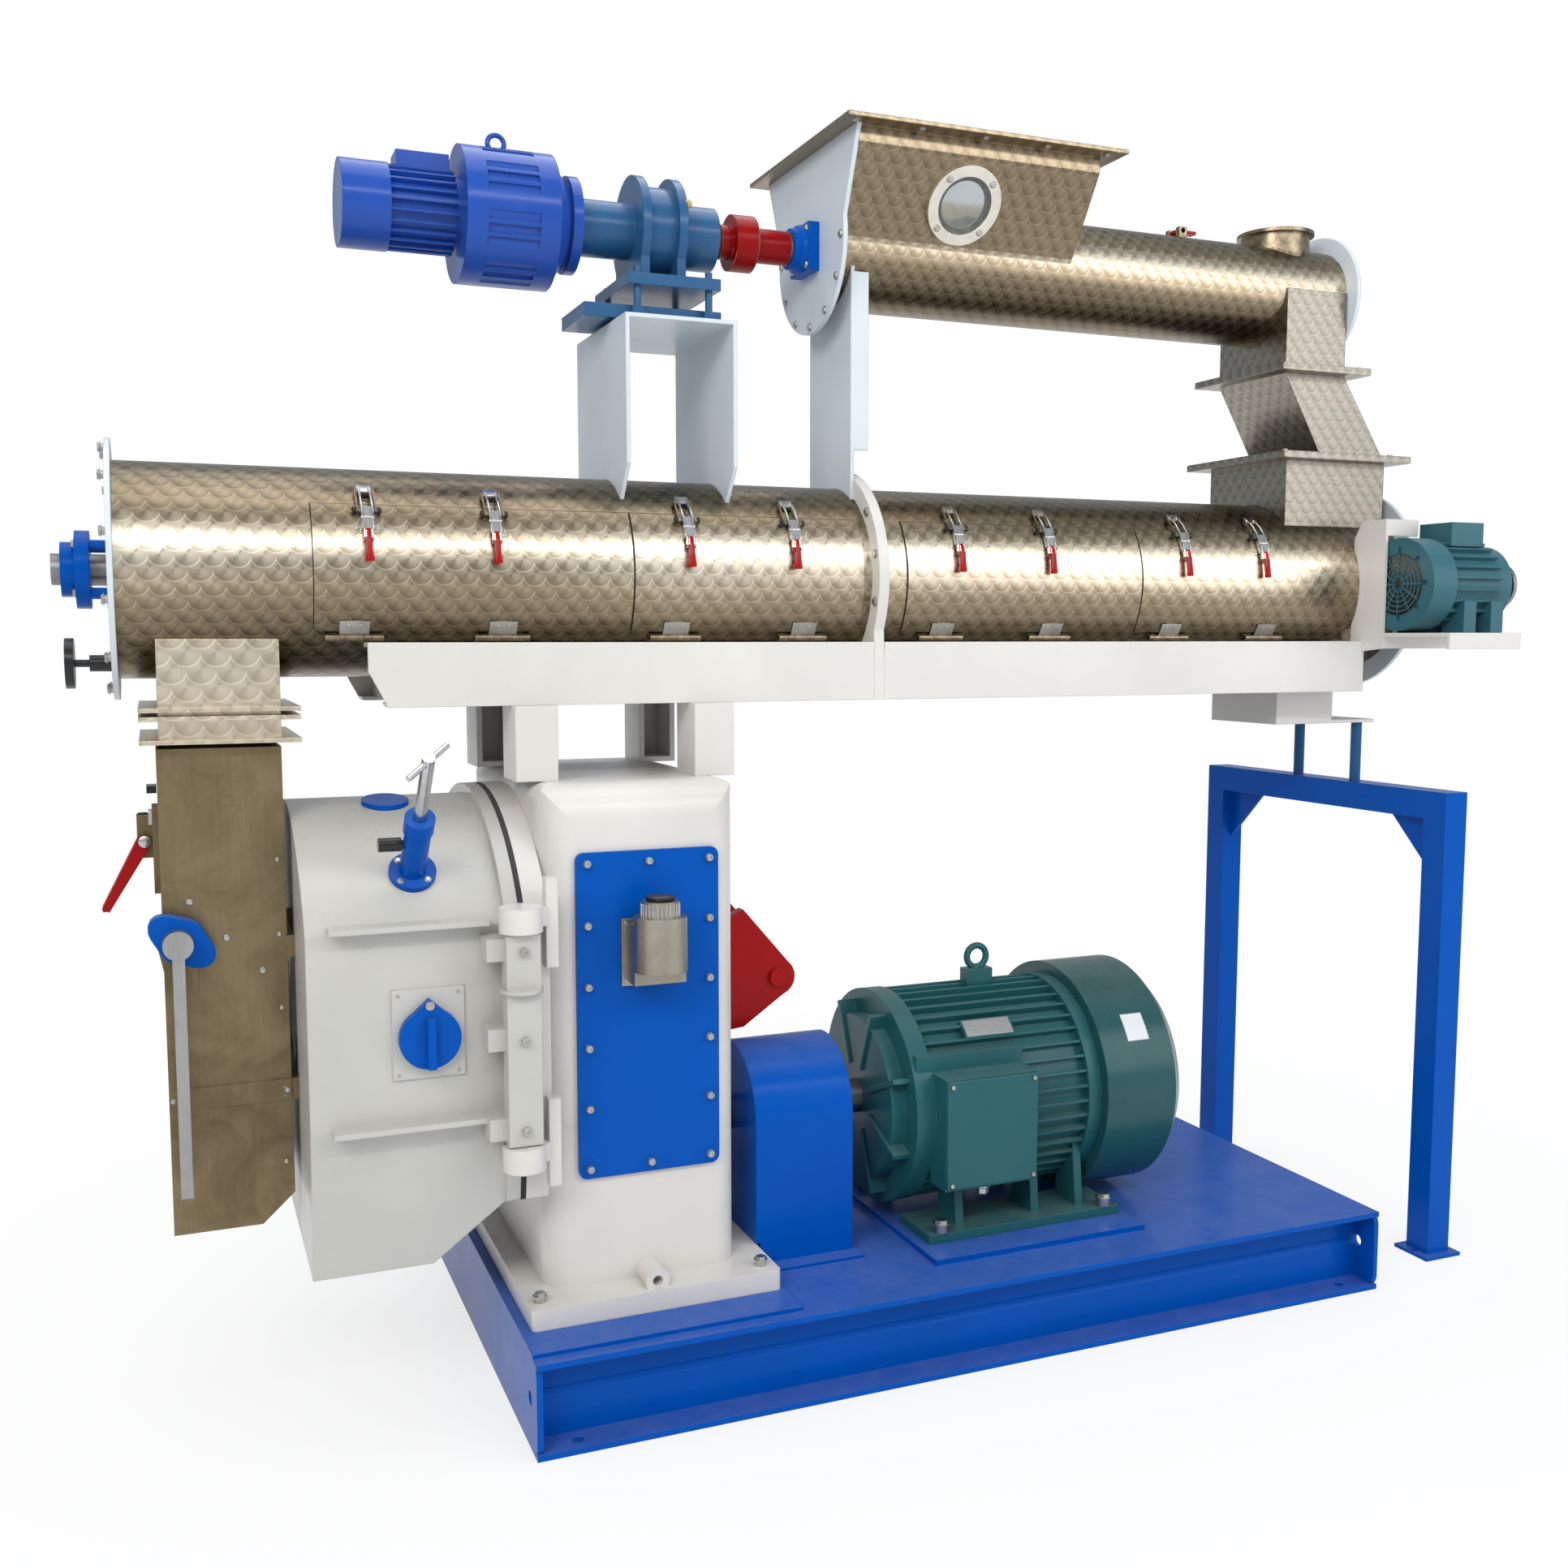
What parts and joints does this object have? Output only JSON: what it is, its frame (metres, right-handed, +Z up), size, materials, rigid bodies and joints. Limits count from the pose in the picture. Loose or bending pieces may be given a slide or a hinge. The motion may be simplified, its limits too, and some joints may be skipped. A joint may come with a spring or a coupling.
{
  "type": "feed pellet mill",
  "caption": "Ring-die feed pellet mill with hinged die door, steam conditioner barrel, screw feeder with hopper and electric drives on a channel base.",
  "frame": {"origin": "centre of the anchor bolt pattern under the channel base, on the floor", "axes": "+X along the machine from the die door to the motor end, -Y the front with the latches, +Z up"},
  "size_m": [3.887, 1.2791, 3.06],
  "materials": {
    "blue_paint": "gloss",
    "white_paint": "satin",
    "zinc_bolts": "satin",
    "polished_steel": "polished",
    "red_paint": "gloss",
    "gasket_rubber": "matte",
    "dark_teal_paint": "satin",
    "swirl_steel": "engine turned",
    "plain_steel": "brushed",
    "machined_steel": "machined",
    "teal_paint": "satin",
    "clear_glass": "clear",
    "black_plastic": "gloss"
  },
  "bodies": {
    "mill_frame": {"base_frame": "blue_paint", "gearbox_housing": "white_paint", "gearbox_cover": "blue_paint", "fasteners": "zinc_bolts", "oil_filler": "polished_steel", "shear_pin_bracket": "red_paint", "coupling_guard": "blue_paint", "die_casing": "white_paint", "casing_gasket": "gasket_rubber", "hinge_bracket": "white_paint", "conditioner_supports": "white_paint", "main_motor": "dark_teal_paint", "motor_cowl": "dark_teal_paint", "conditioner_barrel": "swirl_steel", "barrel_end_plates": "white_paint", "support_beams": "white_paint", "portal_frame": "blue_paint", "shaft_bearings": "blue_paint", "mixer_motor": "teal_paint", "inlet_duct": "swirl_steel", "feeder_trough": "swirl_steel", "feeder_end_plates": "white_paint", "sight_glass_ring": "polished_steel", "sight_glass": "clear_glass", "feeder_post": "white_paint", "drive_bracket": "white_paint", "feeder_motor": "blue_paint", "feeder_reducer": "dark_teal_paint", "outlet_duct": "swirl_steel", "roller_carrier": "machined_steel"},
    "door": {"mill_door": "white_paint", "cutter_post": "blue_paint", "discharge_chute": "plain_steel"},
    "cutter_screw_body": {"cutter_screw": "polished_steel"},
    "cutter_lock_body": {"cutter_lock": "black_plastic"},
    "door_knob_body": {"door_knob": "blue_paint"},
    "chute_lever_body": {"chute_lever": "polished_steel"},
    "chute_clamp_body": {"chute_clamp": "red_paint"},
    "die_body": {"ring_die": "machined_steel", "drive_gear": "machined_steel"},
    "roller_1_body": {"press_roller_1": "machined_steel"},
    "roller_2_body": {"press_roller_2": "machined_steel"},
    "motor_rotor_body": {"motor_rotor": "machined_steel"},
    "mixing_rotor_body": {"mixing_rotor": "plain_steel"},
    "mixer_pulley_body": {"mixer_pulley": "machined_steel"},
    "feeder_screw_body": {"feeder_screw": "polished_steel"},
    "feeder_latch_body": {"feeder_latch": "red_paint"},
    "hand_knob_body": {"hand_knob": "black_plastic"},
    "barrel_door_1_body": {"barrel_door_1": "swirl_steel"},
    "barrel_door_2_body": {"barrel_door_2": "swirl_steel"},
    "barrel_door_3_body": {"barrel_door_3": "swirl_steel"},
    "barrel_door_4_body": {"barrel_door_4": "swirl_steel"},
    "latch_1_body": {"latch_1": "polished_steel"},
    "latch_2_body": {"latch_2": "polished_steel"},
    "latch_3_body": {"latch_3": "polished_steel"},
    "latch_4_body": {"latch_4": "polished_steel"},
    "latch_5_body": {"latch_5": "polished_steel"},
    "latch_6_body": {"latch_6": "polished_steel"},
    "latch_7_body": {"latch_7": "polished_steel"},
    "latch_8_body": {"latch_8": "polished_steel"}
  },
  "joints": [
    {"name": "mill_door_swing", "type": "hinge", "parent": "mill_frame", "child": "door", "pos_m": [-1.1725, -0.52, 0.895], "axis": [0, 0, 1], "range_deg": [0, 100]},
    {"name": "cutter_screw_feed", "type": "slide", "parent": "door", "child": "cutter_screw_body", "axis": [0, -0.682, 0.7314], "range_m": [0, 0.03]},
    {"name": "cutter_lock_turn", "type": "hinge", "parent": "door", "child": "cutter_lock_body", "pos_m": [-1.3785, -0.42625, 1.3521], "axis": [1, 0, 0], "range_deg": [-90, 90]},
    {"name": "door_knob_turn", "type": "hinge", "parent": "door", "child": "door_knob_body", "pos_m": [-1.3645, -0.45, 0.926], "axis": [0, 1, 0], "range_deg": [-90, 90]},
    {"name": "chute_lever_swing", "type": "hinge", "parent": "door", "child": "chute_lever_body", "pos_m": [-1.8675, -0.2, 1.134], "axis": [0, 1, 0], "range_deg": [0, 20]},
    {"name": "chute_clamp_swing", "type": "hinge", "parent": "door", "child": "chute_clamp_body", "pos_m": [-1.9275, 0, 1.335], "axis": [0, 1, 0], "range_deg": [0, 75]},
    {"name": "die_spin", "type": "hinge", "parent": "mill_frame", "child": "die_body", "pos_m": [-1.3, 0, 0.895], "axis": [1, 0, 0], "continuous": true},
    {"name": "roller_1_spin", "type": "hinge", "parent": "mill_frame", "child": "roller_1_body", "pos_m": [-1.3, -0.112, 0.895], "axis": [1, 0, 0], "continuous": true},
    {"name": "roller_2_spin", "type": "hinge", "parent": "mill_frame", "child": "roller_2_body", "pos_m": [-1.3, 0.112, 0.895], "axis": [1, 0, 0], "continuous": true},
    {"name": "motor_spin", "type": "hinge", "parent": "mill_frame", "child": "motor_rotor_body", "pos_m": [-0.5, -0.1, 0.55594], "axis": [1, 0, 0], "continuous": true},
    {"name": "mixing_rotor_spin", "type": "hinge", "parent": "mill_frame", "child": "mixing_rotor_body", "pos_m": [-0.2, 0, 1.95], "axis": [1, 0, 0], "continuous": true},
    {"name": "mixer_pulley_spin", "type": "hinge", "parent": "mill_frame", "child": "mixer_pulley_body", "pos_m": [1.7, -0.385, 1.95], "axis": [1, 0, 0], "continuous": true},
    {"name": "feeder_screw_spin", "type": "hinge", "parent": "mill_frame", "child": "feeder_screw_body", "pos_m": [0.5, 0, 2.807], "axis": [1, 0, 0], "continuous": true},
    {"name": "feeder_latch_lift", "type": "hinge", "parent": "mill_frame", "child": "feeder_latch_body", "pos_m": [0.895, 0, 2.9666], "axis": [0, -1, 0], "range_deg": [0, 90]},
    {"name": "hand_knob_turn", "type": "hinge", "parent": "mill_frame", "child": "hand_knob_body", "pos_m": [-2.016, -0.12, 1.743], "axis": [1, 0, 0], "range_deg": [-180, 180]},
    {"name": "barrel_door_1_swing", "type": "hinge", "parent": "mill_frame", "child": "barrel_door_1_body", "pos_m": [-1.19249, -0.20418, 1.79892], "axis": [1, 0, 0], "range_deg": [0, 60]},
    {"name": "barrel_door_2_swing", "type": "hinge", "parent": "mill_frame", "child": "barrel_door_2_body", "pos_m": [-0.51806, -0.20418, 1.79892], "axis": [1, 0, 0], "range_deg": [0, 60]},
    {"name": "barrel_door_3_swing", "type": "hinge", "parent": "mill_frame", "child": "barrel_door_3_body", "pos_m": [0.26764, -0.20418, 1.79892], "axis": [1, 0, 0], "range_deg": [0, 60]},
    {"name": "barrel_door_4_swing", "type": "hinge", "parent": "mill_frame", "child": "barrel_door_4_body", "pos_m": [0.99205, -0.20418, 1.79892], "axis": [1, 0, 0], "range_deg": [0, 60]},
    {"name": "latch_1_lift", "type": "hinge", "parent": "barrel_door_1_body", "child": "latch_1_body", "pos_m": [-1.44009, -0.22115, 2.08288], "axis": [-1, 0, 0], "range_deg": [0, 80]},
    {"name": "latch_2_lift", "type": "hinge", "parent": "barrel_door_1_body", "child": "latch_2_body", "pos_m": [-1.15293, -0.22115, 2.08288], "axis": [-1, 0, 0], "range_deg": [0, 80]},
    {"name": "latch_3_lift", "type": "hinge", "parent": "barrel_door_2_body", "child": "latch_3_body", "pos_m": [-0.68212, -0.22115, 2.08288], "axis": [-1, 0, 0], "range_deg": [0, 80]},
    {"name": "latch_4_lift", "type": "hinge", "parent": "barrel_door_2_body", "child": "latch_4_body", "pos_m": [-0.40486, -0.22115, 2.08288], "axis": [-1, 0, 0], "range_deg": [0, 80]},
    {"name": "latch_5_lift", "type": "hinge", "parent": "barrel_door_3_body", "child": "latch_5_body", "pos_m": [0.05996, -0.22115, 2.08288], "axis": [-1, 0, 0], "range_deg": [0, 80]},
    {"name": "latch_6_lift", "type": "hinge", "parent": "barrel_door_3_body", "child": "latch_6_body", "pos_m": [0.3351, -0.22115, 2.08288], "axis": [-1, 0, 0], "range_deg": [0, 80]},
    {"name": "latch_7_lift", "type": "hinge", "parent": "barrel_door_4_body", "child": "latch_7_body", "pos_m": [0.77483, -0.22115, 2.08288], "axis": [-1, 0, 0], "range_deg": [0, 80]},
    {"name": "latch_8_lift", "type": "hinge", "parent": "barrel_door_4_body", "child": "latch_8_body", "pos_m": [1.04291, -0.22115, 2.08288], "axis": [-1, 0, 0], "range_deg": [0, 80]}
  ],
  "couplings": [
    {"joint": "motor_spin", "follows": "die_spin", "ratio": -3.8095},
    {"joint": "roller_1_spin", "follows": "die_spin", "ratio": 2.234},
    {"joint": "roller_2_spin", "follows": "die_spin", "ratio": 2.234},
    {"joint": "mixer_pulley_spin", "follows": "mixing_rotor_spin", "ratio": 2.1212}
  ]
}
